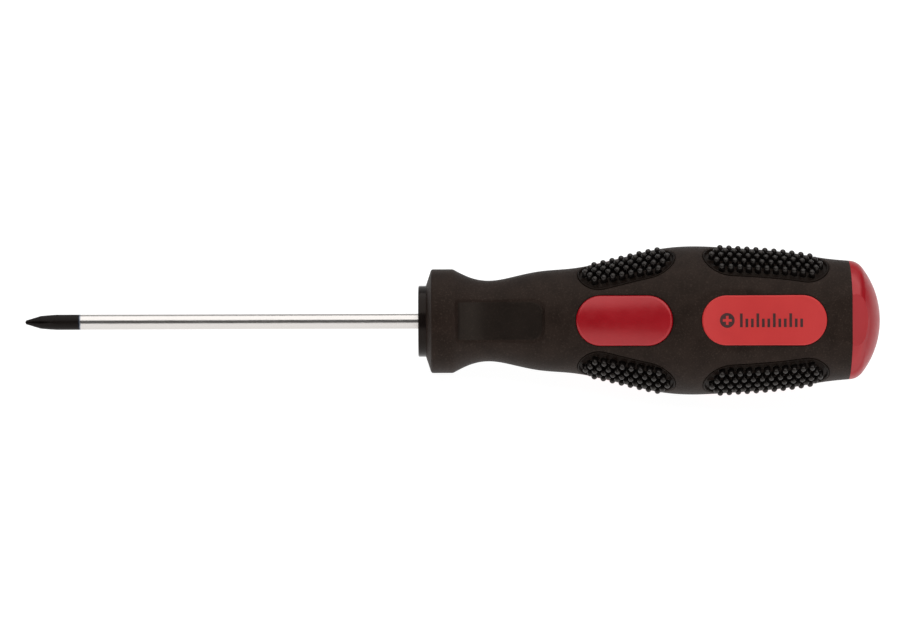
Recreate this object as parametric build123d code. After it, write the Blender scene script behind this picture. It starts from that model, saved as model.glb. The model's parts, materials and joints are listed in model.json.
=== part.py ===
from build123d import *
from math import asin, atan, degrees, hypot, tan
import os

# A cross-head screwdriver with a fixed blade and a handle moulded from hard and soft plastics.
#
# The tool is drawn along X: x = 0 is the front face of the collar, the tip is at -x and the butt at +x.
# The handle repeats three times round the axis. A column holds a finger flat and two red ovals, and the
# column that faces +Z is the first. A column of studded pads lies between each two.
# Last of all, the tool is rolled, tilted and moved to lie on the surface z = 0, on its flange and a front
# oval.
# Millimetres and degrees.

COLUMNS = 3
OVAL_ANGLES = [column * 360 / COLUMNS for column in range(COLUMNS)]
PAD_ANGLES = [angle + 180 / COLUMNS for angle in OVAL_ANGLES]

# blade
REACH = 75.0
SHANK_RADIUS = 1.45
TIP_FLAT_RADIUS = 0.4
TIP_CONE_END = 3.0
TIP_CONE_RADIUS = 1.26
TIP_TAPER_END = 6.0
FLUTES = 4
FLUTE_LENGTH = 5.7
FLUTE_ROOT_RADIUS = 0.16
GROOVE_LENGTH = 1.75
GROOVE_RADIUS = 1.2
GROOVE_BEVEL = SHANK_RADIUS - GROOVE_RADIUS
TANG_END = 46.0
WING_START = 24.0
WING_END = 35.0
WING_SPAN = 5.6
WING_THICKNESS = 1.3

# handle, along the tool
FLANGE_FRONT = 1.47
FLANGE_CONE_END = 2.5
FLANGE_BACK = 6.6
BUTT = 82.0
HANDLE_LENGTH = 88.0

# handle, radii
COLLAR_RADIUS = 6.8
COLLAR_EDGE = 0.3
COLLAR_DEPTH = 3.5
SHANK_CLEARANCE = 0.05
FLANGE_RADIUS = 9.9
FLANGE_EDGE = 0.5
BUTT_RADIUS = 11.33

# the grip's outline behind the flange as (x, radius): neck, belly and butt
GRIP_OUTLINE = [
    (FLANGE_BACK, FLANGE_RADIUS),
    (9.9, 8.32),
    (13.7, 7.71),
    (18.4, 8.5),
    (23.2, 9.46),
    (28.9, 9.95),
    (34.0, 10.8),
    (40.4, 12.4),
    (46.0, 13.65),
    (51.8, 14.14),
    (58.0, 13.93),
    (65.0, 13.47),
    (72.0, 12.7),
    (77.6, 11.77),
    (BUTT, BUTT_RADIUS),
]

# the core's outline inside the grip, as (x, radius)
CORE_OUTLINE = [
    (COLLAR_DEPTH, 7.5),
    (6.0, 7.5),
    (13.5, 5.5),
    (28.0, 8.0),
    (48.0, 11.7),
    (54.0, 11.7),
    (BUTT, 9.1),
]

# end cap
DOME_RADIUS = 16.5
DOME_EDGE = 3.2
SPIGOT_RADIUS = 6.5
SPIGOT_LENGTH = 8.0
SPIGOT_BEVEL = 0.8

# the flat across the back of an oval column, as (x, depth below the outline)
FACET_DEPTH = 1.0
FACET_STEPS = [
    (49.6, -0.1),
    (51.2, 0.15),
    (52.8, 0.55),
    (55.0, FACET_DEPTH),
    (67.0, FACET_DEPTH),
    (BUTT, FACET_DEPTH),
]
FACET_EXIT = 87.0
FACET_FALL = 0.3  # slope of the flat across the cap
FACET_WIDTH = 18.0

# finger flat in the neck
FLAT_START = 7.0
FLAT_END = 24.0
FLAT_WIDTH = 8.4
FLAT_DEPTH = 1.15
FLAT_FRONT_CORNER = 0.7
FLAT_BACK_CORNER = 1.6
FLAT_OVERRUN = 5.0  # how far the floor's curve is drawn past the flat's end

# red ovals
FRONT_OVAL = (38.9, 18.2, 9.5)  # centre, length, width
REAR_OVAL = (65.25, 23.7, 9.45)
FRONT_OVAL_RISE = 0.15
FRONT_OVAL_EDGE = 0.6
FRONT_OVAL_FOOT_MARGIN = 1.2  # the foot is this much narrower all round, to clear the pads beside it
REAR_OVAL_RISE = 0.1
REAR_OVAL_EDGE = 0.25

# studded pads
FRONT_PAD = (39.45, 18.5, 10.1)  # centre, length, width
REAR_PAD = (65.9, 24.0, 10.5)
FRONT_PAD_STUDS = 10  # studs in the middle row
REAR_PAD_STUDS = 13
SIDE_ROWS = 2  # rows on each side of the middle row, each one stud shorter
STUD_PITCH = 1.71
ROW_ANGLE = 7.3
PAD_FLOOR_DEPTH = 0.6
SEAT_DEPTH = 1.05  # depth of the seats of the pads and the front ovals
PAD_LIP_DEPTH = 0.02
PAD_LIP_WIDTH = 0.5
STUD_RISE = 0.9  # tips above the grip's outline
STUD_BASE_RADIUS = 0.64
STUD_TIP_RADIUS = 0.55
STUD_ROOT = 0.2  # how deep a stud is rooted in its pad

REST_ROLL = 60.0  # turns the second column of ovals down, and the first up and to the side

OUTSIDE = 20.0  # clear of the handle on every side


def grip_curve(rise=0.0):
    """The grip's outline behind the flange, moved outwards by rise."""
    return Spline(*[(x, radius + rise) for x, radius in GRIP_OUTLINE])


def grip_radius(x):
    """The radius of the grip's outline at x."""
    curve = grip_curve()
    low, high = 0.0, 1.0
    while high - low > 1e-7:
        middle = (low + high) / 2
        if (curve @ middle).X < x:
            low = middle
        else:
            high = middle
    return (curve @ low).Y


def turned(edges):
    """The solid that a closed outline sweeps round the X axis."""
    return revolve(make_face(edges), axis=Axis.X)


def turned_polygon(*points):
    """The turned solid of an outline with straight sides, given from the axis back to the axis."""
    return turned(Polyline(*points, close=True).edges())


def grip_body(rise=0.0):
    """The solid inside the grip's outline, moved outwards by rise, from the flange to the butt."""
    curve = grip_curve(rise)
    rim = FLANGE_RADIUS + rise
    flange = Polyline(
        (FLANGE_FRONT, 0),
        (FLANGE_FRONT, COLLAR_RADIUS),
        (FLANGE_CONE_END, rim),
        (FLANGE_BACK, rim),
    )
    back = Polyline((BUTT, BUTT_RADIUS + rise), (BUTT, 0), (FLANGE_FRONT, 0))
    return turned(flange.edges() + curve.edges() + back.edges())


def across(side_view, width):
    """The solid of a side view, width wide and centred on the XZ plane."""
    return extrude(Plane.XZ.offset(-width / 2) * side_view, width, dir=(0, -1, 0))


def slot_prism(oval, margin=0.0):
    """A stadium-shaped column that rises from the axis along +Z, margin narrower all round."""
    centre, length, width = oval
    return extrude(Pos(centre, 0, 0) * SlotOverall(length - 2 * margin, width - 2 * margin), OUTSIDE)


def facet_curve_points(rise=0.0):
    """Points of the flat across the back of an oval column, moved outwards by rise."""
    points = [(x, grip_radius(x) - depth + rise) for x, depth in FACET_STEPS]
    last_height = points[-1][1]
    return points + [(FACET_EXIT, last_height - FACET_FALL * (FACET_EXIT - BUTT))]


def facet_cutter(rise=0.0):
    """Everything outside the flat, on the side of an oval column that faces +Z."""
    points = facet_curve_points(rise)
    curve = Spline(*points)
    (front_x, front_z), (back_x, back_z) = points[0], points[-1]
    sides = Polyline(
        (back_x, back_z),
        (back_x + OUTSIDE, back_z),
        (back_x + OUTSIDE, OUTSIDE),
        (front_x, OUTSIDE),
        (front_x, front_z),
    )
    return across(make_face(curve.edges() + sides.edges()), FACET_WIDTH)


def finger_flat_cutter():
    """The shallow flat-floored pocket in the neck, on the side that faces +Z."""
    points = [(x, radius - FLAT_DEPTH) for x, radius in GRIP_OUTLINE if x < FLAT_END + FLAT_OVERRUN]
    curve = Spline(*points)
    sides = Polyline(points[-1], (points[-1][0], OUTSIDE), (points[0][0], OUTSIDE), points[0])
    above_floor = across(make_face(curve.edges() + sides.edges()), 2 * FLAT_WIDTH)
    middle = (FLAT_START + FLAT_END) / 2
    plan = Pos(middle, 0, 0) * Rectangle(FLAT_END - FLAT_START, FLAT_WIDTH)
    corners = plan.vertices().sort_by(Axis.X)
    plan = chamfer(corners[2:], FLAT_BACK_CORNER)
    plan = fillet(plan.vertices().sort_by(Axis.X)[:2], FLAT_FRONT_CORNER)
    return extrude(plan, OUTSIDE) & above_floor


def blade():
    """Shank, four-fluted tip, and the groove, tang and wings that the handle grips."""
    outline = turned_polygon(
        (-REACH, 0),
        (-REACH + TIP_FLAT_RADIUS / 2, TIP_FLAT_RADIUS),
        (-REACH + TIP_CONE_END, TIP_CONE_RADIUS),
        (-REACH + TIP_TAPER_END, SHANK_RADIUS),
        (0, SHANK_RADIUS),
        (GROOVE_BEVEL, GROOVE_RADIUS),
        (GROOVE_LENGTH - GROOVE_BEVEL, GROOVE_RADIUS),
        (GROOVE_LENGTH, SHANK_RADIUS),
        (TANG_END, SHANK_RADIUS),
        (TANG_END + SHANK_RADIUS / 2, SHANK_RADIUS / 2),
        (TANG_END + SHANK_RADIUS / 2, 0),
    )
    wings = Pos((WING_START + WING_END) / 2, 0, 0) * Box(WING_END - WING_START, WING_SPAN, WING_THICKNESS)
    solid = outline + wings
    rise = SHANK_RADIUS - FLUTE_ROOT_RADIUS
    groove_size = 2 * SHANK_RADIUS
    corner = Polyline((0, 0), (groove_size, groove_size), (-groove_size, groove_size), close=True)
    start = Plane(origin=(-REACH, 0, FLUTE_ROOT_RADIUS), x_dir=(0, 1, 0), z_dir=(1, 0, 0))
    groove_length = 2 * hypot(FLUTE_LENGTH, rise)
    groove = extrude(start * make_face(corner.edges()), groove_length, dir=(FLUTE_LENGTH, 0, rise))
    for flute in range(FLUTES):
        solid -= Rot(360 / FLUTES * flute, 0, 0) * groove
    return solid


def front_collar():
    """The ring in the nose of the handle that the shank comes out of."""
    ring = turned_polygon((0, 0), (0, COLLAR_RADIUS), (COLLAR_DEPTH, COLLAR_RADIUS), (COLLAR_DEPTH, 0))
    ring = fillet(ring.edges().filter_by(GeomType.CIRCLE).sort_by(Axis.X)[0], COLLAR_EDGE)
    bore = Cylinder(SHANK_RADIUS + SHANK_CLEARANCE, COLLAR_DEPTH)
    return ring - Pos(COLLAR_DEPTH / 2, 0, 0) * Rot(0, 90, 0) * bore


def cap_dome():
    """The domed part of the end cap before its flats are cut."""
    corner_x = HANDLE_LENGTH - DOME_RADIUS + (DOME_RADIUS**2 - BUTT_RADIUS**2) ** 0.5
    straight = Polyline((HANDLE_LENGTH, 0), (BUTT, 0), (BUTT, BUTT_RADIUS), (corner_x, BUTT_RADIUS))
    dome = RadiusArc((corner_x, BUTT_RADIUS), (HANDLE_LENGTH, 0), DOME_RADIUS)
    solid = turned(straight.edges() + dome.edges())
    rim = solid.edges().filter_by(GeomType.CIRCLE).sort_by(lambda edge: abs(edge.center().X - corner_x))
    return fillet(rim[0], DOME_EDGE)


def end_cap():
    """The domed cap with the spigot that holds it in the core."""
    start = BUTT - SPIGOT_LENGTH
    spigot = turned_polygon(
        (start, 0),
        (start, SPIGOT_RADIUS - SPIGOT_BEVEL),
        (start + SPIGOT_BEVEL, SPIGOT_RADIUS),
        (BUTT, SPIGOT_RADIUS),
        (BUTT, 0),
    )
    dome = cap_dome()
    for angle in OVAL_ANGLES:
        dome -= Rot(angle, 0, 0) * facet_cutter()
    return dome + spigot


def core_body():
    """The core's outer shape, before the blade and the cap's spigot are taken out of it."""
    return turned_polygon((COLLAR_DEPTH, 0), *CORE_OUTLINE, (BUTT, 0))


def front_inlay(core):
    """The convex oval, a little proud of the grip, with a narrower foot that reaches the core."""
    block = slot_prism(FRONT_OVAL) & grip_body(FRONT_OVAL_RISE)
    top = block.faces().sort_by(Axis.Z)[-1]
    plate = fillet(top.edges(), FRONT_OVAL_EDGE) - grip_body(-SEAT_DEPTH)
    foot = slot_prism(FRONT_OVAL, FRONT_OVAL_FOOT_MARGIN) & grip_body(-SEAT_DEPTH / 2)
    return plate + (foot - core)


def rear_inlay(core):
    """The flat oval, a little proud of the flat around it."""
    solid = slot_prism(REAR_OVAL) - facet_cutter(REAR_OVAL_RISE) - core
    top = solid.faces().sort_by(Axis.Z)[-1]
    return fillet(top.edges(), REAR_OVAL_EDGE)


def stud_positions(pad, middle_studs):
    """The x and the angle from the pad's middle line of every stud, in staggered rows."""
    centre = pad[0]
    positions = []
    for row in range(-SIDE_ROWS, SIDE_ROWS + 1):
        count = middle_studs - abs(row)
        positions += [(centre + STUD_PITCH * (i - (count - 1) / 2), row * ROW_ANGLE) for i in range(count)]
    return positions


def stud():
    """One stud standing on the XY plane along +Z: a blunt cone with a round tip."""
    height = STUD_ROOT + PAD_FLOOR_DEPTH + STUD_RISE - STUD_TIP_RADIUS
    cone = Pos(0, 0, height / 2) * Cone(STUD_BASE_RADIUS, STUD_TIP_RADIUS, height)
    return cone + Pos(0, 0, height) * Sphere(STUD_TIP_RADIUS)


def studded_pad(pad, middle_studs):
    """A pad in its window: floor, lip and studs."""
    lip = slot_prism(pad) - slot_prism(pad, PAD_LIP_WIDTH)
    floor = slot_prism(pad) & grip_body(-PAD_FLOOR_DEPTH)
    solid = floor + (lip & grip_body(-PAD_LIP_DEPTH)) - grip_body(-SEAT_DEPTH)
    shape = stud()
    studs = []
    for x, angle in stud_positions(pad, middle_studs):
        root = grip_radius(x) - PAD_FLOOR_DEPTH - STUD_ROOT
        studs.append(Rot(angle, 0, 0) * Pos(x, 0, root) * shape)
    return solid + studs


def grip_sleeve(core):
    """The soft overmould with its flange, neck, finger flats, rear flats and windows."""
    body = grip_body()
    circles = body.edges().filter_by(GeomType.CIRCLE)
    rims = circles.filter_by(lambda edge: abs(edge.radius - FLANGE_RADIUS) < 0.01)
    nose = Pos(COLLAR_DEPTH / 2, 0, 0) * Rot(0, 90, 0) * Cylinder(COLLAR_RADIUS, COLLAR_DEPTH)
    sleeve = fillet(rims, FLANGE_EDGE) - core - nose
    below_seats = grip_body(-SEAT_DEPTH)
    front_seat, *pads = [slot_prism(oval) - below_seats for oval in (FRONT_OVAL, FRONT_PAD, REAR_PAD)]
    foot = slot_prism(FRONT_OVAL, FRONT_OVAL_FOOT_MARGIN)
    ovals = [front_seat, foot, slot_prism(REAR_OVAL), facet_cutter(), finger_flat_cutter()]
    for angle in OVAL_ANGLES:
        sleeve -= [Rot(angle, 0, 0) * cutter for cutter in ovals]
    for angle in PAD_ANGLES:
        sleeve -= [Rot(angle, 0, 0) * cutter for cutter in pads]
    return sleeve


def rest_tilt():
    """How far the nose dips when the tool lies down.

    It touches the surface with its flange's front rim and with the far end of its lowest front oval.
    """
    cone_slope = (FLANGE_RADIUS - COLLAR_RADIUS) / (FLANGE_CONE_END - FLANGE_FRONT)
    rim_x = FLANGE_CONE_END + FLANGE_EDGE * tan(atan(cone_slope) / 2)
    rim_radius = FLANGE_RADIUS - FLANGE_EDGE
    centre, length, _ = FRONT_OVAL
    end_x = centre + length / 2 - FRONT_OVAL_EDGE
    slope = (grip_radius(end_x) - grip_radius(centre)) / (end_x - centre)
    end_radius = grip_radius(end_x) + FRONT_OVAL_RISE - FRONT_OVAL_EDGE * hypot(1, slope)
    along, down = end_x - rim_x, end_radius - rim_radius
    return degrees(atan(down / along) + asin((FRONT_OVAL_EDGE - FLANGE_EDGE) / hypot(along, down)))


def build_nodes():
    """Every piece by name, still along X."""
    nodes = {"blade": blade(), "front_collar": front_collar(), "end_cap": end_cap()}
    core = core_body()
    nodes["handle_core"] = core - nodes["blade"] - nodes["end_cap"]
    nodes["grip_sleeve"] = grip_sleeve(core)
    groups = {
        "front_inlay": (front_inlay(core), OVAL_ANGLES),
        "rear_inlay": (rear_inlay(core), OVAL_ANGLES),
        "front_pad": (studded_pad(FRONT_PAD, FRONT_PAD_STUDS), PAD_ANGLES),
        "rear_pad": (studded_pad(REAR_PAD, REAR_PAD_STUDS), PAD_ANGLES),
    }
    for name, (piece, angles) in groups.items():
        for number, angle in enumerate(angles, start=1):
            nodes[f"{name}_{number}"] = Rot(angle, 0, 0) * piece
    return nodes


def rest_location(nodes):
    """The move from the drawing axis to the surface, with the origin under the middle of the tool."""
    turn = Rot(0, -rest_tilt(), 0) * Rot(REST_ROLL, 0, 0)
    box = Compound([(turn * node).solid() for node in nodes.values()]).bounding_box()
    return Pos(-(box.min.X + box.max.X) / 2, 0, -box.min.Z) * turn


NODES = build_nodes()
REST = rest_location(NODES)
os.makedirs("parts", exist_ok=True)
for name, node in NODES.items():
    export_step(REST * node, f"parts/{name}.step")
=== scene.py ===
import json
from math import asin, atan2, cos, hypot, inf, pi, radians, sin, sqrt, tan

import bmesh
import bpy
import numpy as np
from mathutils import Matrix, Vector
from mathutils.bvhtree import BVHTree
from mathutils.geometry import delaunay_2d_cdt


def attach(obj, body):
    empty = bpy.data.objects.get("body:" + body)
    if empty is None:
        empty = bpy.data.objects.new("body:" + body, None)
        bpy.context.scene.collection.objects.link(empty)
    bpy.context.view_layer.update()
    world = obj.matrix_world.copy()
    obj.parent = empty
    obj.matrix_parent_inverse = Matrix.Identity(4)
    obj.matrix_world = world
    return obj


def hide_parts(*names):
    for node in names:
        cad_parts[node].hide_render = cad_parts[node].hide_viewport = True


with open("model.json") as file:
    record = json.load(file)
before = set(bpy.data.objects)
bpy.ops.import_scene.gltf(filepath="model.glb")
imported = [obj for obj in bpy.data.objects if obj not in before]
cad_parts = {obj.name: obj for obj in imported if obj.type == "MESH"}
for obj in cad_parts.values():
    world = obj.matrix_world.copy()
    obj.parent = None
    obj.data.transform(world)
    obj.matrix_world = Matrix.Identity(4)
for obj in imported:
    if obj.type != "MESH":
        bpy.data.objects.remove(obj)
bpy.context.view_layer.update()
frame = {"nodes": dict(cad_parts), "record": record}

# The tool is worked out in its own frame, in millimetres. x runs along the blade's axis, from the collar's
# face towards the butt, and angles turn about it, from straight up towards -Y. TOOL takes that frame to the
# row frame, in metres. A plan view looks square at one column: (x, side), with side a distance across it.
MM = 0.001
MOUNTS = {mount["name"]: mount for mount in frame["record"]["mounts"]}
SHANK = MOUNTS["blade_shank"]
ALONG = -Vector(SHANK["axis"])
ACROSS = Vector((0, 1, 0))
UP = ALONG.cross(ACROSS)
ORIGIN = Vector(SHANK["pos_m"]) + ALONG * SHANK["dims"]["length_mm"] / 2 * MM
TOOL = Matrix.Translation(ORIGIN) @ Matrix((ALONG, ACROSS, UP)).transposed().to_4x4() @ Matrix.Scale(MM, 4)

REACH = (Vector(MOUNTS["driver_tip"]["pos_m"]) - ORIGIN).length / MM

COLUMNS = 3
HALF_SECTOR = pi / COLUMNS
FIRST_COLUMN = radians(60)  # the column with the print on it
OVAL_ANGLES = [FIRST_COLUMN + radians(360 / COLUMNS * column) for column in range(COLUMNS)]
PAD_ANGLES = [angle + HALF_SECTOR for angle in OVAL_ANGLES]

# the grip, as part.py has it
COLLAR_RADIUS = 6.8
COLLAR_DEPTH = 3.5
FLANGE_FRONT = 1.47
FLANGE_CONE_END = 2.5
FLANGE_BACK = 6.6
FLANGE_RADIUS = 9.9
FLANGE_EDGE = 0.5
BACK_EDGE_TURN = radians(35)  # how far the flange's back edge turns before it meets the waist
BACK_EDGE_SETBACK = 0.32  # how far before FLANGE_BACK that edge is centred, as a share of FLANGE_EDGE
BUTT = 82.0
BUTT_RADIUS = 11.33
GRIP_OUTLINE = [
    (FLANGE_BACK, FLANGE_RADIUS),
    (9.9, 8.32),
    (13.7, 7.71),
    (18.4, 8.5),
    (23.2, 9.46),
    (28.9, 9.95),
    (34.0, 10.8),
    (40.4, 12.4),
    (46.0, 13.65),
    (51.8, 14.14),
    (58.0, 13.93),
    (65.0, 13.47),
    (72.0, 12.7),
    (77.6, 11.77),
    (BUTT, BUTT_RADIUS),
]
CORE_OUTLINE = [  # the bore that holds the core
    (COLLAR_DEPTH, 7.5),
    (6.0, 7.5),
    (13.5, 5.5),
    (28.0, 8.0),
    (48.0, 11.7),
    (54.0, 11.7),
    (BUTT, 9.1),
]
FACET_STEPS = [  # x, how far the middle of a rear flat is below the grip's outline
    (49.6, -0.1),
    (51.2, 0.15),
    (52.8, 0.55),
    (55.0, 1.0),
    (67.0, 1.0),
    (BUTT, 1.0),
]
FACET_EXIT = 87.0
FACET_FALL = 0.3  # slope of the flat across the cap
FLAT_START = 7.0
FLAT_END = 24.0
FLAT_WIDTH = 8.4
FLAT_DEPTH = 1.15
FLAT_WALL = 0.5
FLAT_FRONT_CORNER = 0.8
FLAT_BACK_CORNER = 2.4
SEAT_DEPTH = 1.05
REAR_SEAT_DEPTH = 1.9
FRONT_OVAL = (38.9, 18.2, 9.5)  # centre, length, width
REAR_OVAL = (65.25, 23.7, 9.45)
FRONT_PAD = (39.45, 18.5, 10.1)
REAR_PAD = (65.9, 24.0, 10.5)
FRONT_PAD_STUDS = 10
REAR_PAD_STUDS = 13
SIDE_ROWS = 2
STUD_PITCH = 1.71
ROW_ANGLE = radians(7.3)
PAD_FLOOR_DEPTH = 0.6

# how finely the grip and the pads are meshed
GRID = 0.42
EDGE_STEP = 0.3
UNROLL_RADIUS = 12.0
UNROLLED_WIDTH = 2 * pi * UNROLL_RADIUS
AROUND = COLUMNS * round(UNROLLED_WIDTH / GRID / COLUMNS)
SEAM_ANGLE = pi / 2
EDGE_ROUNDING = 0.28
EDGE_RINGS = (0.0, 0.07, 0.16, 0.3)  # distances outside a window's outline
FLAT_RINGS = (0.0, 0.17, 0.34, FLAT_WALL)  # distances inside a finger flat's outline
FLANGE_EDGE_STEPS = 5
FACET_SOFTNESS = 0.05
SAME_PLACE = 1e-4  # points of a plan that are nearer than this are one point
SAME_PLACE_DIGITS = 4
OUTLINE_SLACK = 1e-3
MERGE_DISTANCE = 1e-5
WHOLE_HULL = 0  # the triangulation's output type with triangles over the whole convex hull


# ---------------------------------------------------------------- outlines


def natural_spline(points):
    """A function through the points, as smooth as a bent strip of spring steel."""
    x, y = np.array(points, float).T
    step = np.diff(x)
    count = len(x)
    system = np.eye(count)
    load = np.zeros(count)
    for i in range(1, count - 1):
        system[i, i - 1 : i + 2] = step[i - 1], 2 * (step[i - 1] + step[i]), step[i]
        load[i] = 6 * ((y[i + 1] - y[i]) / step[i] - (y[i] - y[i - 1]) / step[i - 1])
    bend = np.linalg.solve(system, load)

    def value(place):
        i = int(np.clip(np.searchsorted(x, place) - 1, 0, count - 2))
        done, left, h = place - x[i], x[i + 1] - place, step[i]
        cubic = (bend[i] * left**3 + bend[i + 1] * done**3) / (6 * h)
        start_share = (y[i] / h - bend[i] * h / 6) * left
        end_share = (y[i + 1] / h - bend[i + 1] * h / 6) * done
        return cubic + start_share + end_share

    return value


grip_radius = natural_spline(GRIP_OUTLINE)
facet_points = [(x, grip_radius(x) - depth) for x, depth in FACET_STEPS]
facet_points.append((FACET_EXIT, facet_points[-1][1] - FACET_FALL * (FACET_EXIT - BUTT)))
facet_height = natural_spline(facet_points)


def smooth_min(a, b, softness):
    """The smaller of two lengths, with the corner between them rounded off."""
    blend = max(softness - abs(a - b), 0) / softness
    return min(a, b) - blend * blend * softness / 4


def smooth_step(value, start, end):
    """0 before start, 1 after end, and smooth between."""
    share = min(max((value - start) / (end - start), 0), 1)
    return share * share * (3 - 2 * share)


def angle_from(angle, column):
    """The angle from a column, between -pi and pi."""
    return (angle - column + pi) % (2 * pi) - pi


def slot_distance(x, side, slot):
    """How far a point of the plan view is outside a stadium-shaped outline; inside it is negative."""
    centre, length, width = slot
    beyond = max(abs(x - centre) - (length - width) / 2, 0)
    return hypot(beyond, side) - width / 2


def slot_outline(slot, offset, step):
    """Points of the plan view round a stadium, offset outwards, about step apart."""
    centre, length, width = slot
    straight, radius = (length - width) / 2, width / 2 + offset
    turn = round(pi * radius / step)
    run = round(2 * straight / step)
    points = []
    for end in (1, -1):
        points += [
            (centre + end * (straight + radius * sin(pi * i / turn)), end * radius * cos(pi * i / turn))
            for i in range(turn)
        ]
        points += [(centre + end * straight * (1 - 2 * i / run), -end * radius) for i in range(run)]
    return points


def flat_distance(x, side):
    """How far a point of the plan view is inside a finger flat's outline."""
    middle = (FLAT_START + FLAT_END) / 2
    corner = FLAT_BACK_CORNER if x > middle else FLAT_FRONT_CORNER
    dx = abs(x - middle) - (FLAT_END - FLAT_START) / 2 + corner
    dy = abs(side) - FLAT_WIDTH / 2 + corner
    outside = hypot(max(dx, 0), max(dy, 0)) + min(max(dx, dy), 0)
    return corner - outside


def flat_outline(inset, step):
    """Points of the plan view round a finger flat, inset from its outline, about step apart."""
    half_width = FLAT_WIDTH / 2 - inset
    back_radius = max(FLAT_BACK_CORNER - inset, step / 2)
    front_radius = max(FLAT_FRONT_CORNER - inset, step / 2)
    back_x = FLAT_END - inset - back_radius
    front_x = FLAT_START + inset + front_radius
    corners = [  # centre, radius, direction in which the corner's arc starts
        (back_x, back_radius - half_width, back_radius, -pi / 2),
        (back_x, half_width - back_radius, back_radius, 0.0),
        (front_x, half_width - front_radius, front_radius, pi / 2),
        (front_x, front_radius - half_width, front_radius, pi),
    ]
    points = []
    for i, (x, y, radius, start) in enumerate(corners):
        turn = max(2, round(radius * pi / 2 / step))
        for k in range(turn + 1):
            direction = start + pi / 2 * k / turn
            points.append((x + radius * cos(direction), y + radius * sin(direction)))
        from_x, from_y = points[-1]
        next_x, next_y, next_radius, next_start = corners[(i + 1) % len(corners)]
        to_x = next_x + next_radius * cos(next_start)
        to_y = next_y + next_radius * sin(next_start)
        run = round(hypot(to_x - from_x, to_y - from_y) / step)
        for k in range(1, run):
            points.append((from_x + (to_x - from_x) * k / run, from_y + (to_y - from_y) * k / run))
    return points


WINDOWS = [  # outline, angle and depth of every seat for an oval or a pad
    (slot, angle, depth)
    for slot, angles, depth in (
        (FRONT_OVAL, OVAL_ANGLES, SEAT_DEPTH),
        (REAR_OVAL, OVAL_ANGLES, REAR_SEAT_DEPTH),
        (FRONT_PAD, PAD_ANGLES, SEAT_DEPTH),
        (REAR_PAD, PAD_ANGLES, SEAT_DEPTH),
    )
    for angle in angles
]


def window_at(x, angle):
    """The distance outside the nearest window's outline, and that window's depth."""
    best = (inf, 0)
    for slot, column, depth in WINDOWS:
        away = angle_from(angle, column)
        if abs(away) < HALF_SECTOR and abs(x - slot[0]) < slot[1]:
            distance = slot_distance(x, grip_radius(x) * sin(away), slot)
            if distance < best[0]:
                best = (distance, depth)
    return best


def from_oval_column(angle):
    """The angle from the nearest column of ovals, whose middle line the flats share."""
    return min((angle_from(angle, column) for column in OVAL_ANGLES), key=abs)


def finger_flat_inset(x, angle):
    """How far a point of the skin is inside the outline of the nearest finger flat."""
    return flat_distance(x, grip_radius(x) * sin(from_oval_column(angle)))


def skin_radius(x, angle):
    """The radius of the soft grip's skin, with its finger flats and rear flats but no windows."""
    radius = grip_radius(x)
    away = from_oval_column(angle)
    if x > FACET_STEPS[0][0]:
        radius = smooth_min(radius, facet_height(x) / cos(away), FACET_SOFTNESS)
    elif x < FLAT_END:
        floor = smooth_min(radius, (radius - FLAT_DEPTH) / cos(away), FACET_SOFTNESS)
        radius += (floor - radius) * smooth_step(finger_flat_inset(x, angle), 0, FLAT_WALL)
    return radius


def edge_drop(distance):
    """How far a window's rounded edge falls below the skin, at a distance outside its outline."""
    if distance >= EDGE_ROUNDING:
        return 0.0
    left = EDGE_ROUNDING - max(distance, 0)
    return EDGE_ROUNDING - sqrt(EDGE_ROUNDING**2 - left**2)


# ---------------------------------------------------------------- mesh building


def at(x, radius, angle):
    """The row-frame point at x along the tool, at a radius from its axis and an angle from straight up."""
    return TOOL @ Vector((x, -radius * sin(angle), radius * cos(angle)))


def face_outwards(mesh):
    """Turns every face of a closed mesh to the outside."""
    shape = bmesh.new()
    shape.from_mesh(mesh)
    bmesh.ops.recalc_face_normals(shape, faces=shape.faces)
    shape.to_mesh(mesh)
    shape.free()


def new_piece(name, points, faces, material, sharp=40):
    """A mesh piece that rides on the tool's one body. Edges of more than sharp degrees stay crisp."""
    mesh = bpy.data.meshes.new(name)
    mesh.from_pydata(points, [], faces)
    mesh.validate()
    face_outwards(mesh)
    mesh.shade_smooth()
    mesh.set_sharp_from_angle(angle=radians(sharp))
    piece = bpy.data.objects.new(name, mesh)
    bpy.context.scene.collection.objects.link(piece)
    mesh.materials.append(material)
    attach(piece, "root")
    return piece


def paint_faces(piece, numbers, material):
    """Gives some of a piece's faces a second material."""
    piece.data.materials.append(material)
    for number in numbers:
        piece.data.polygons[number].material_index = 1


class Skin:
    """Points and faces of one piece, collected ring by ring."""

    def __init__(self):
        self.points = []
        self.faces = []

    def add(self, point):
        self.points.append(point)
        return len(self.points) - 1

    def ring(self, points):
        return [self.add(point) for point in points]

    def bridge(self, first, second):
        """Quads between two closed rings with the same number of points."""
        for i in range(len(first)):
            after = (i + 1) % len(first)
            self.faces.append((first[i], first[after], second[after], second[i]))

    def fan(self, ring, point):
        """Triangles from a closed ring to one point."""
        for i in range(len(ring)):
            self.faces.append((ring[i], ring[(i + 1) % len(ring)], point))


def add_loop(points, outline):
    """Adds an outline to a list of points, and returns the numbers that its points have there."""
    start = len(points)
    points.extend(outline)
    return list(range(start, len(points)))


def loop_edges(numbers):
    """The edges of a closed outline."""
    return list(zip(numbers, numbers[1:] + numbers[:1]))


def triangulated(points, edges):
    """Triangles over points of a plane: the points, the triangles, and each input point's new number."""
    plane = [Vector(point) for point in points]
    flat, _, faces, origins, _, _ = delaunay_2d_cdt(plane, edges, [], WHOLE_HULL, MERGE_DISTANCE, True)
    number = {}
    for new, olds in enumerate(origins):
        for old in olds:
            number[old] = new
    return flat, faces, number


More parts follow.
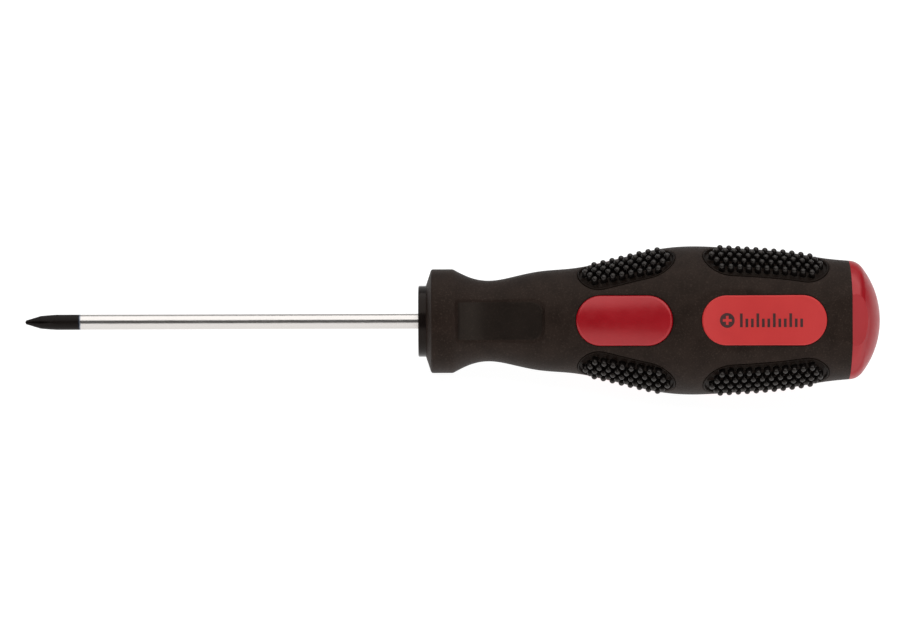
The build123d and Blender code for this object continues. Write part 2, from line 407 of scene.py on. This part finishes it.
def middle_of(triangle, flat):
    """The centre of a triangle of a plane."""
    return tuple(sum(flat[i][axis] for i in triangle) / 3 for axis in (0, 1))


# ---------------------------------------------------------------- soft grip


def unrolled(x, side, column):
    """A window's plan point on the unrolled grip: (x, arc)."""
    angle = column - asin(side / grip_radius(x))
    return x, UNROLL_RADIUS * ((angle - SEAM_ANGLE) % (2 * pi))


def near_window(x, angle):
    """Whether a point would crowd those of a window's edge or of a finger flat's wall."""
    distance = window_at(x, angle)[0]
    by_window = -GRID / 2 < distance < EDGE_RINGS[-1] + GRID / 2
    by_flat = -GRID / 2 < finger_flat_inset(x, angle) < FLAT_RINGS[-1] + GRID / 2
    return by_window or by_flat


def grip_points(front):
    """Points over the unrolled grip, the edges that they must keep, and each window's outline."""
    points, edges, outlines = [], [], []
    for slot, column, _ in WINDOWS:
        rings = []
        for offset in EDGE_RINGS:
            plan = slot_outline(slot, offset, EDGE_STEP)
            rings.append(add_loop(points, [unrolled(x, side, column) for x, side in plan]))
            edges += loop_edges(rings[-1])
        outlines.append(rings[0])
    for column in OVAL_ANGLES:
        for inset in FLAT_RINGS:
            plan = flat_outline(inset, EDGE_STEP)
            ring = add_loop(points, [unrolled(x, side, column) for x, side in plan])
            for a, b in loop_edges(ring):
                crosses_seam = abs(points[a][1] - points[b][1]) > UNROLL_RADIUS
                if not crosses_seam:
                    edges.append((a, b))
    along_count = round((BUTT - front) / GRID)
    for i in range(along_count + 1):
        x = front + (BUTT - front) * i / along_count
        for j in range(AROUND + 1):
            arc = UNROLLED_WIDTH * j / AROUND
            if 0 < i < along_count and 0 < j < AROUND:
                arc += GRID / 4 if i % 2 else -GRID / 4
                if near_window(x, SEAM_ANGLE + arc / UNROLL_RADIUS):
                    continue
            points.append((x, arc))
    return points, edges, outlines


def grip_levels(skin, flat, outlines):
    """Lifts the plan points onto the skin and the seats' floors: a dictionary of point numbers for each."""
    on_outline = {i for outline in outlines for i in outline}
    at_seam = {round(x, SAME_PLACE_DIGITS): i for i, (x, arc) in enumerate(flat) if abs(arc) < SAME_PLACE}
    far_side = {i for i, (_, arc) in enumerate(flat) if abs(arc - UNROLLED_WIDTH) < SAME_PLACE}
    top, bottom = {}, {}
    for i, (x, arc) in enumerate(flat):
        if i in far_side:
            continue
        angle = SEAM_ANGLE + arc / UNROLL_RADIUS
        distance, depth = window_at(x, angle)
        if i in on_outline or distance >= 0:
            top[i] = skin.add(at(x, skin_radius(x, angle) - edge_drop(distance), angle))
        if i in on_outline or distance < 0:
            bottom[i] = skin.add(at(x, grip_radius(x) - depth, angle))
    for i in far_side:
        top[i] = top[at_seam[round(flat[i][0], SAME_PLACE_DIGITS)]]
    return top, bottom


def end_ring(flat, numbers, x):
    """The points at one end of the unrolled grip, in order of angle."""
    on_end = sorted((arc, i) for i, (place, arc) in enumerate(flat) if abs(place - x) < SAME_PLACE)
    return [numbers[i] for _, i in on_end[:AROUND]]


def flange_edge(centre, turn):
    """(x, radius) on an edge of the flange, turned back from its rim, or forwards if turn is negative."""
    return centre + FLANGE_EDGE * sin(turn), FLANGE_RADIUS - FLANGE_EDGE * (1 - cos(turn))


def flange_profile(back_centre):
    """(x, radius) from the flange's back edge over its rim and its cone, and on along the bore."""
    cone = atan2(FLANGE_RADIUS - COLLAR_RADIUS, FLANGE_CONE_END - FLANGE_FRONT)
    front_centre = FLANGE_CONE_END + FLANGE_EDGE * tan(cone / 2)
    steps = FLANGE_EDGE_STEPS
    profile = [flange_edge(back_centre, BACK_EDGE_TURN * (steps - 1 - i) / steps) for i in range(steps)]
    profile += [flange_edge(front_centre, -cone * i / steps) for i in range(steps + 1)]
    return profile + [(FLANGE_FRONT, COLLAR_RADIUS), (COLLAR_DEPTH, COLLAR_RADIUS)] + CORE_OUTLINE


def soft_grip(material, pocket_material):
    """The overmould: flange, waist, finger flats, belly, rear flats, and a seat for every oval and pad."""
    back_centre = FLANGE_BACK - FLANGE_EDGE * BACK_EDGE_SETBACK
    front = flange_edge(back_centre, BACK_EDGE_TURN)[0]
    points, edges, outlines = grip_points(front)
    flat, triangles, number = triangulated(points, edges)
    outlines = [[number[i] for i in outline] for outline in outlines]

    skin = Skin()
    top, bottom = grip_levels(skin, flat, outlines)
    pocket_faces = []
    for triangle in triangles:
        x, arc = middle_of(triangle, flat)
        angle = SEAM_ANGLE + arc / UNROLL_RADIUS
        in_seat = window_at(x, angle)[0] < 0 and all(i in bottom for i in triangle)
        level = bottom if in_seat else top
        if finger_flat_inset(x, angle) > FLAT_WALL:
            pocket_faces.append(len(skin.faces))
        skin.faces.append(tuple(level[i] for i in reversed(triangle)))
    for outline in outlines:
        skin.bridge([top[i] for i in outline], [bottom[i] for i in outline])

    previous = end_ring(flat, top, front)
    for x, radius in flange_profile(back_centre):
        ring = skin.ring(at(x, radius, SEAM_ANGLE + 2 * pi * j / AROUND) for j in range(AROUND))
        skin.bridge(previous, ring)
        previous = ring
    skin.bridge(previous, end_ring(flat, top, BUTT))
    piece = new_piece("soft_grip", skin.points, skin.faces, material, sharp=50)
    paint_faces(piece, pocket_faces, pocket_material)
    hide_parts("grip_sleeve")


# ---------------------------------------------------------------- studded pads

LIP = [  # distance inside the pad's outline, height above the grip's outline
    (0.0, -0.16),
    (0.05, -0.04),
    (0.13, 0.03),
    (0.22, 0.02),
    (0.3, -0.08),
    (0.37, -0.3),
    (0.43, -0.52),
    (0.5, -PAD_FLOOR_DEPTH),
]
STUD = [  # radius, height above the pad's floor
    (0.68, 0.0),
    (0.65, 0.06),
    (0.64, 0.2),
    (0.61, 0.6),
    (0.585, 0.9),
    (0.55, 1.08),
    (0.48, 1.24),
    (0.37, 1.36),
    (0.24, 1.44),
    (0.12, 1.48),
]
STUD_HEIGHT = 1.49
STUD_SIDES = 14


def lip_height(distance):
    """The height of the pad's face above the grip's outline, at a distance inside its own outline."""
    return float(np.interp(distance, *zip(*LIP)))


def pad_studs(pad, middle_studs):
    """(x, angle from the pad's middle line) of every stud, in staggered rows."""
    studs = []
    for row in range(-SIDE_ROWS, SIDE_ROWS + 1):
        count = middle_studs - abs(row)
        studs += [(pad[0] + STUD_PITCH * (i - (count - 1) / 2), row * ROW_ANGLE) for i in range(count)]
    return studs


def stud_ring(radius):
    """(along, side) from a stud's own axis to each point of a ring round it."""
    turns = [2 * pi * side / STUD_SIDES for side in range(STUD_SIDES)]
    return [(radius * cos(turn), radius * sin(turn)) for turn in turns]


def stud_point(x, side, height, angle):
    """A point beside a stud's own axis, which stands at an angle round the tool."""
    return at(x, hypot(height, side), angle + atan2(side, height))


def pad_points(pad, studs, reference):
    """Points over an unrolled pad, the edges that they must keep, its outline and every stud's foot."""
    points, edges, rings, feet = [], [], [], []
    for distance, _ in LIP:
        plan = slot_outline(pad, -distance, EDGE_STEP)
        rings.append(add_loop(points, [(x, reference * asin(side / grip_radius(x))) for x, side in plan]))
        edges += loop_edges(rings[-1])
    foot_ring = stud_ring(STUD[0][0])
    for x, angle in studs:
        radius = grip_radius(x) - PAD_FLOOR_DEPTH
        foot = [(x + along, reference * (angle + side / radius)) for along, side in foot_ring]
        feet.append(add_loop(points, foot))
        edges += loop_edges(feet[-1])
    return points, edges, rings[0], feet


def studded_pad(name, pad, middle_studs, column, material, floor_material):
    """A pad with its lip and its studs, as one closed skin; the floor and the lip have a duller finish."""
    studs = pad_studs(pad, middle_studs)
    reference = grip_radius(pad[0])
    points, edges, outline, feet = pad_points(pad, studs, reference)
    flat, triangles, number = triangulated(points, edges)
    outline = [number[i] for i in outline]
    feet = [[number[i] for i in foot] for foot in feet]
    stud_of = {i: stud for stud, foot in enumerate(feet) for i in foot}

    def inside(x, arc):
        """How far a point is inside the pad's outline."""
        return -slot_distance(x, grip_radius(x) * sin(arc / reference), pad)

    skin = Skin()
    face = [(x, arc, grip_radius(x) + lip_height(inside(x, arc))) for x, arc in flat]
    top = skin.ring(at(x, radius, column + arc / reference) for x, arc, radius in face)
    bottom = skin.ring(at(x, grip_radius(x) - SEAT_DEPTH, column + arc / reference) for x, arc in flat)
    floor_faces = []
    for triangle in triangles:
        if inside(*middle_of(triangle, flat)) < -OUTLINE_SLACK or set(triangle) <= set(outline):
            continue
        skin.faces.append(tuple(bottom[i] for i in triangle))
        owners = {stud_of.get(i) for i in triangle}
        if len(owners) > 1 or None in owners:
            floor_faces.append(len(skin.faces))
            skin.faces.append(tuple(top[i] for i in reversed(triangle)))
    skin.bridge([top[i] for i in outline], [bottom[i] for i in outline])

    for (x, angle), foot in zip(studs, feet):
        previous = [top[i] for i in foot]
        floor = grip_radius(x) - PAD_FLOOR_DEPTH
        for radius, height in STUD[1:]:
            ring = []
            for along, side in stud_ring(radius):
                ring.append(skin.add(stud_point(x + along, side, floor + height, column + angle)))
            skin.bridge(previous, ring)
            previous = ring
        skin.fan(previous, skin.add(stud_point(x, 0, floor + STUD_HEIGHT, column + angle)))
    piece = new_piece(name, skin.points, skin.faces, material, sharp=60)
    paint_faces(piece, floor_faces, floor_material)
    return piece


# ---------------------------------------------------------------- materials

NOISE_BAND = (0.3, 0.7)  # nearly all of a noise's values lie in it
MIX_FIRST, MIX_SECOND = 6, 7  # a Mix node's colour inputs, which share their names with its other kinds
MIX_RESULT = 2  # and its colour output


def node_material(name):
    material = bpy.data.materials.new(name)
    material.use_nodes = True
    nodes = material.node_tree.nodes
    return material, nodes, material.node_tree.links, nodes["Principled BSDF"]


def object_noise(nodes, links, size, detail=2.0, stretch=(1, 1, 1)):
    """Noise whose features are about size metres across, fixed to the tool."""
    place = nodes.new("ShaderNodeTexCoord")
    scale = nodes.new("ShaderNodeMapping")
    scale.inputs["Scale"].default_value = stretch
    noise = nodes.new("ShaderNodeTexNoise")
    noise.inputs["Scale"].default_value = 1 / size
    noise.inputs["Detail"].default_value = detail
    links.new(place.outputs["Object"], scale.inputs["Vector"])
    links.new(scale.outputs["Vector"], noise.inputs["Vector"])
    return noise.outputs["Fac"]


def ramp(nodes, links, source, stops):
    """A colour ramp from (position, (r, g, b)) stops."""
    node = nodes.new("ShaderNodeValToRGB")
    elements = node.color_ramp.elements
    while len(elements) < len(stops):
        elements.new(0.5)
    for element, (position, colour) in zip(elements, stops):
        element.position = position
        element.color = (*colour, 1)
    links.new(source, node.inputs["Fac"])
    return node.outputs["Color"]


def map_range(nodes, links, source, band, to_low=0.0, to_high=1.0):
    """Takes the values of a band to those from to_low to to_high, and holds the ends outside it."""
    node = nodes.new("ShaderNodeMapRange")
    node.inputs["From Min"].default_value, node.inputs["From Max"].default_value = band
    node.inputs["To Min"].default_value = to_low
    node.inputs["To Max"].default_value = to_high
    links.new(source, node.inputs["Value"])
    return node.outputs["Result"]


def add_roughness(nodes, links, shader, source, low, high):
    """Roughness that follows a noise."""
    links.new(map_range(nodes, links, source, NOISE_BAND, low, high), shader.inputs["Roughness"])


def add_bump(nodes, links, shader, source, height, strength):
    """Bumps of a height in metres that follow a noise."""
    bump = nodes.new("ShaderNodeBump")
    bump.inputs["Distance"].default_value = height
    bump.inputs["Strength"].default_value = strength
    links.new(source, bump.inputs["Height"])
    links.new(bump.outputs["Normal"], shader.inputs["Normal"])


def tool_axis_distance(nodes, links):
    """A node output with the distance along the tool from the collar's face, in millimetres."""
    place = nodes.new("ShaderNodeTexCoord")
    shift = nodes.new("ShaderNodeVectorMath")
    shift.operation = "SUBTRACT"
    shift.inputs[1].default_value = ORIGIN
    dot = nodes.new("ShaderNodeVectorMath")
    dot.operation = "DOT_PRODUCT"
    dot.inputs[1].default_value = ALONG / MM
    links.new(place.outputs["Object"], shift.inputs[0])
    links.new(shift.outputs["Vector"], dot.inputs[0])
    return dot.outputs["Value"]


RUBBER_DARK = (0.0125, 0.0072, 0.0056)
RUBBER_PALE = (0.0195, 0.0118, 0.0092)
DUST_COLOUR = (0.12, 0.085, 0.068)
DUST_BAND = (0.55, 0.72)
DUST_SHARE = 0.17


def soft_black(name, rough_low, rough_high, grain_height, shine, paleness=1.0):
    """Black rubber with a fine grain and a little dust, slightly warm. A lower paleness is blacker."""
    material, nodes, links, shader = node_material(name)
    dark, pale = (tuple(paleness * part for part in tone) for tone in (RUBBER_DARK, RUBBER_PALE))
    mottle = object_noise(nodes, links, 0.0035, 4)
    colour = ramp(nodes, links, mottle, [(0.35, dark), (0.65, pale)])
    speck = object_noise(nodes, links, 0.0003)
    dust = nodes.new("ShaderNodeMix")
    dust.data_type = "RGBA"
    dust_share = map_range(nodes, links, speck, DUST_BAND, to_high=DUST_SHARE * paleness)
    links.new(dust_share, dust.inputs["Factor"])
    links.new(colour, dust.inputs[MIX_FIRST])
    dust.inputs[MIX_SECOND].default_value = (*DUST_COLOUR, 1)
    links.new(dust.outputs[MIX_RESULT], shader.inputs["Base Color"])
    grain = object_noise(nodes, links, 0.00022, 3)
    add_roughness(nodes, links, shader, grain, rough_low, rough_high)
    shader.inputs["Specular IOR Level"].default_value = shine
    shader.inputs["Specular Tint"].default_value = (1, 0.85, 0.72, 1)
    add_bump(nodes, links, shader, grain, grain_height, 0.6)
    return material


def stud_black():
    material, nodes, links, shader = node_material("polished_stud_rubber")
    shader.inputs["Base Color"].default_value = (0.0042, 0.003, 0.0028, 1)
    shader.inputs["Specular Tint"].default_value = (1, 0.92, 0.86, 1)
    haze = object_noise(nodes, links, 0.0009, 3)
    add_roughness(nodes, links, shader, haze, 0.24, 0.38)
    add_bump(nodes, links, shader, haze, 0.000004, 0.2)
    return material


def gloss_black():
    material, nodes, links, shader = node_material("polished_black_plastic")
    shader.inputs["Base Color"].default_value = (0.008, 0.0055, 0.005, 1)
    shader.inputs["Specular IOR Level"].default_value = 0.16
    shader.inputs["Specular Tint"].default_value = (1, 0.85, 0.75, 1)
    haze = object_noise(nodes, links, 0.002)
    add_roughness(nodes, links, shader, haze, 0.14, 0.22)
    add_bump(nodes, links, shader, haze, 0.00001, 0.3)
    return material


def core_black():
    material, nodes, links, shader = node_material("moulded_core_plastic")
    flow = object_noise(nodes, links, 0.003, 3, (0.3, 1, 1))
    colour = ramp(nodes, links, flow, [(0.3, (0.02, 0.02, 0.02)), (0.7, (0.035, 0.034, 0.033))])
    links.new(colour, shader.inputs["Base Color"])
    shader.inputs["Roughness"].default_value = 0.5
    return material


FACE_SHINE = 0.5  # the plastic's mirror shine where its surface faces the eye
RIM_SHINE = 0.05  # and what is left of it where the surface turns away
TURNING_BAND = (0.3, 0.55)


def red_plastic(name, deep, pale, rough_low, rough_high, ior, grain_size, grain_height):
    """Red plastic whose pigment also colours what it mirrors."""
    material, nodes, links, shader = node_material(name)
    flow = object_noise(nodes, links, 0.006)
    colour = ramp(nodes, links, flow, [(0.3, deep), (0.7, pale)])
    links.new(colour, shader.inputs["Base Color"])
    grain = object_noise(nodes, links, grain_size)
    add_roughness(nodes, links, shader, grain, rough_low, rough_high)
    shader.inputs["IOR"].default_value = ior
    shader.inputs["Specular Tint"].default_value = (1, 0.36, 0.36, 1)
    slope = nodes.new("ShaderNodeLayerWeight")
    shine = map_range(nodes, links, slope.outputs["Facing"], TURNING_BAND, FACE_SHINE, RIM_SHINE)
    links.new(shine, shader.inputs["Specular IOR Level"])
    add_bump(nodes, links, shader, grain, grain_height, 0.5)
    return material


OXIDE_LENGTH = 10.6
OXIDE_EDGE_BLUR = 0.6
OXIDE_EDGE_WAVER = 0.35
OXIDE_COLOURS = [
    (0.25, (0.008, 0.0055, 0.0045)),
    (0.45, (0.012, 0.017, 0.03)),
    (0.6, (0.3, 0.32, 0.36)),
    (0.75, (0.66, 0.63, 0.605)),
]
OXIDE_BAND = (0.4, 0.7)  # where the black gives way to bare metal, as shares of the blurred edge


def blade_steel():
    """Bright drawn steel, with a black oxide tip that fades through a thin blue edge."""
    material, nodes, links, shader = node_material("bright_and_oxided_steel")
    along = tool_axis_distance(nodes, links)
    waver = object_noise(nodes, links, 0.0012)
    shifted = nodes.new("ShaderNodeMath")
    shifted.operation = "MULTIPLY_ADD"
    shifted.inputs[1].default_value = OXIDE_EDGE_WAVER
    links.new(waver, shifted.inputs[0])
    links.new(along, shifted.inputs[2])
    edge = OXIDE_LENGTH - REACH
    edge_band = (edge - OXIDE_EDGE_BLUR, edge + OXIDE_EDGE_BLUR)
    bare = map_range(nodes, links, shifted.outputs["Value"], edge_band)
    links.new(ramp(nodes, links, bare, OXIDE_COLOURS), shader.inputs["Base Color"])
    metal = map_range(nodes, links, bare, OXIDE_BAND, 0.25, 1.0)
    links.new(metal, shader.inputs["Metallic"])
    lines = object_noise(nodes, links, 0.0004, stretch=(0.06, 1, 1))
    drawn = map_range(nodes, links, lines, NOISE_BAND, 0.16, 0.26)
    dull = map_range(nodes, links, bare, OXIDE_BAND, 0.22, 0.0)
    rough = nodes.new("ShaderNodeMath")
    rough.operation = "ADD"
    links.new(drawn, rough.inputs[0])
    links.new(dull, rough.inputs[1])
    links.new(rough.outputs["Value"], shader.inputs["Roughness"])
    shader.inputs["Specular IOR Level"].default_value = 0.15
    add_bump(nodes, links, shader, lines, 0.000004, 0.5)
    return material


def print_ink():
    material, nodes, links, shader = node_material("dark_red_ink")
    wear = object_noise(nodes, links, 0.0005, 3)
    colour = ramp(nodes, links, wear, [(0.3, (0.03, 0.006, 0.006)), (0.75, (0.06, 0.01, 0.009))])
    links.new(colour, shader.inputs["Base Color"])
    shader.inputs["Roughness"].default_value = 0.55
    add_bump(nodes, links, shader, wear, 0.000004, 0.5)
    return material


MATERIALS = {
    "bright_steel": blade_steel(),
    "black_gloss_plastic": gloss_black(),
    "core_plastic": core_black(),
    "black_soft_grip": soft_black("grained_black_rubber", 0.5, 0.66, 0.00003, shine=0.14),
    "black_soft_studs": stud_black(),
    "red_gloss_plastic": red_plastic(
        "polished_red_plastic",
        deep=(0.33, 0.001, 0.007),
        pale=(0.37, 0.002, 0.009),
        rough_low=0.28,
        rough_high=0.36,
        ior=2.0,
        grain_size=0.0015,
        grain_height=0.000004,
    ),
    "red_satin_plastic": red_plastic(
        "satin_red_plastic",
        deep=(0.56, 0.02, 0.02),
        pale=(0.6, 0.026, 0.024),
        rough_low=0.46,
        rough_high=0.56,
        ior=2.1,
        grain_size=0.0003,
        grain_height=0.000008,
    ),
}


def paint_cad_nodes():
    for part in frame["record"]["subparts"]:
        mesh = frame["nodes"][part["node"]].data
        mesh.materials.clear()
        mesh.materials.append(MATERIALS[part["material_slot"]])


# ---------------------------------------------------------------- printed mark

MARK_RISE = 0.012
MARK_CENTRE_X = 58.2
MARK_RADIUS = 1.4
MARK_SIDES = 48
MARK_CROSS_ARM = 0.85
MARK_CROSS_WIDTH = 0.5
BAR_START = 60.6
BAR_END = 72.5
BAR_COUNT = 12
BAR_HEIGHT = 2.6
BAR_SHORT = 0.62  # height of the short bars, as a share of the long ones'
BARS_PER_LONG = 3


def oval_face():
    """A function from a plan point to the row-frame point at a rise above the first rear oval's face."""
    oval = frame["nodes"]["rear_inlay_1"]
    face = BVHTree.FromObject(oval, bpy.context.evaluated_depsgraph_get())
    column = TOOL @ Matrix.Rotation(FIRST_COLUMN, 4, "X")
    inward = column.to_3x3() @ Vector((0, 0, -1))

    def point(x, side, rise):
        above = column @ Vector((x, side, 2 * BUTT_RADIUS))
        hit = face.ray_cast(oval.matrix_world.inverted() @ above, inward)[0]
        return oval.matrix_world @ hit - inward.normalized() * rise * MM

    return point


def printed(name, outlines, inked, material):
    """A film of ink inside closed outlines of the plan view, wherever inked says so."""
    points, edges, loops = [], [], []
    for outline in outlines:
        loops.append(add_loop(points, outline))
        edges += loop_edges(loops[-1])
    flat, triangles, number = triangulated(points, edges)
    face = oval_face()
    skin = Skin()
    top = skin.ring(face(x, side, MARK_RISE) for x, side in flat)
    bottom = skin.ring(face(x, side, -MARK_RISE) for x, side in flat)
    for triangle in triangles:
        if inked(*middle_of(triangle, flat)):
            skin.faces.append(tuple(top[i] for i in triangle))
            skin.faces.append(tuple(bottom[i] for i in reversed(triangle)))
    for loop in loops:
        skin.bridge([bottom[number[i]] for i in loop], [top[number[i]] for i in loop])
    new_piece(name, skin.points, skin.faces, material)


def drive_symbol(material):
    """A disc with a cross left open in it, the usual sign for a cross-head driver."""
    half = MARK_CROSS_WIDTH / 2
    turns = [2 * pi * i / MARK_SIDES for i in range(MARK_SIDES)]
    disc = [(MARK_CENTRE_X + MARK_RADIUS * cos(turn), MARK_RADIUS * sin(turn)) for turn in turns]
    cross = []
    for quarter in range(4):
        turn = quarter * pi / 2
        for x, y in ((half, MARK_CROSS_ARM), (half, half), (MARK_CROSS_ARM, half)):
            cross.append((MARK_CENTRE_X + x * cos(turn) + y * sin(turn), y * cos(turn) - x * sin(turn)))

    def inked(x, side):
        near, far = sorted((abs(x - MARK_CENTRE_X), abs(side)))
        return near > half or far > MARK_CROSS_ARM

    printed("printed_drive_symbol", [disc, cross[::-1]], inked, material)


def size_bars(material):
    """A plain row of bars, long and short, where a size is usually printed."""
    outlines = []
    pitch = (BAR_END - BAR_START) / (BAR_COUNT - 0.5)
    low = -BAR_HEIGHT / 2
    for bar in range(BAR_COUNT):
        left = BAR_START + pitch * bar
        right = left + pitch / 2
        high = low + BAR_HEIGHT * (BAR_SHORT if bar % BARS_PER_LONG else 1)
        outlines.append([(left, low), (right, low), (right, high), (left, high)])

    def inked(x, side):
        return any(bar[0][0] < x < bar[1][0] and low < side < bar[2][1] for bar in outlines)

    printed("printed_size_bars", outlines, inked, material)


# ---------------------------------------------------------------- stage, light and camera

CAMERA_DISTANCE = 900.0
FRAME_WIDTH = 171.7
SENSOR = 36.0
CLIP_END = 50.0  # metres
AIM_X = 6.05
AIM_SIDE = 1.17
ROLL = radians(0.17)
FLOOR_SIZE = 12.0  # metres
FLOOR_GREY = 0.2
FLOOR_GLOW = 0.97
WORLD_LIGHT = 0.12
WHITE = (1, 1, 1, 1)
SOFTBOXES = [  # name, place and size in millimetres, radiance; all face the middle of the floor
    ("overhead_softbox", (0, 60, 700), (1700, 1120), 1.4),
    ("back_softbox", (0, 1200, 500), (1800, 800), 0.45),
    ("side_softbox", (700, -840, 500), (700, 800), 1.0),
    ("front_softbox", (0, -1300, 110), (1800, 220), 0.8),
]


def stage_floor():
    mesh = bpy.data.meshes.new("floor")
    half = FLOOR_SIZE / 2
    corners = [(-half, -half, 0), (half, -half, 0), (half, half, 0), (-half, half, 0)]
    mesh.from_pydata(corners, [], [(0, 1, 2, 3)])
    floor = bpy.data.objects.new("floor", mesh)
    bpy.context.scene.collection.objects.link(floor)
    material, _, _, shader = node_material("pale_floor")
    shader.inputs["Base Color"].default_value = (FLOOR_GREY, FLOOR_GREY, FLOOR_GREY, 1)
    shader.inputs["Roughness"].default_value = 0.9
    shader.inputs["Specular IOR Level"].default_value = 0.0
    shader.inputs["Emission Color"].default_value = WHITE
    shader.inputs["Emission Strength"].default_value = FLOOR_GLOW
    mesh.materials.append(material)


def softbox(name, place, size, radiance):
    """A rectangular lamp that faces the middle of the floor, equally bright all over."""
    data = bpy.data.lights.new(name, "AREA")
    data.shape = "RECTANGLE"
    data.size, data.size_y = size[0] * MM, size[1] * MM
    data.energy = radiance * pi * data.size * data.size_y
    lamp = bpy.data.objects.new(name, data)
    bpy.context.scene.collection.objects.link(lamp)
    lamp.location = Vector(place) * MM
    facing = Vector((0, 0, 0)) - lamp.location
    lamp.rotation_euler = facing.to_track_quat("-Z", "Y").to_euler()
    lamp.visible_camera = False


def world_light():
    world = bpy.context.scene.world or bpy.data.worlds.new("studio")
    bpy.context.scene.world = world
    world.use_nodes = True
    background = world.node_tree.nodes["Background"]
    background.inputs["Color"].default_value = WHITE
    background.inputs["Strength"].default_value = WORLD_LIGHT


def camera():
    """The camera looks square at the first column of ovals, with the tool's axis across the picture."""
    data = bpy.data.cameras.new("camera")
    data.sensor_width = SENSOR
    data.lens = SENSOR * CAMERA_DISTANCE / FRAME_WIDTH
    data.clip_end = CLIP_END
    eye = bpy.data.objects.new("camera", data)
    bpy.context.scene.collection.objects.link(eye)
    facing = TOOL @ Matrix.Rotation(FIRST_COLUMN, 4, "X")
    spin = Matrix.Rotation(-ROLL, 4, "Z")
    place = facing @ Matrix.Translation((AIM_X, AIM_SIDE, CAMERA_DISTANCE)) @ spin
    eye.matrix_world = Matrix.LocRotScale(place.to_translation(), place.to_quaternion(), None)
    bpy.context.scene.camera = eye


paint_cad_nodes()
pocket_rubber = soft_black("smooth_black_rubber", 0.38, 0.48, 0.00001, shine=0.3, paleness=0.45)
soft_grip(MATERIALS["black_soft_grip"], pocket_rubber)
floor_rubber = soft_black("dull_black_rubber", 0.4, 0.5, 0.00001, shine=0.09, paleness=0.5)
for number, angle in enumerate(PAD_ANGLES, start=1):
    for kind, pad, studs in (("front", FRONT_PAD, FRONT_PAD_STUDS), ("rear", REAR_PAD, REAR_PAD_STUDS)):
        name = f"{kind}_studs_{number}"
        piece = studded_pad(name, pad, studs, angle, MATERIALS["black_soft_studs"], floor_rubber)
        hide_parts(f"{kind}_pad_{number}")
ink = print_ink()
drive_symbol(ink)
size_bars(ink)
stage_floor()
for softbox_row in SOFTBOXES:
    softbox(*softbox_row)
world_light()
camera()
bpy.context.scene.view_settings.view_transform = "Standard"
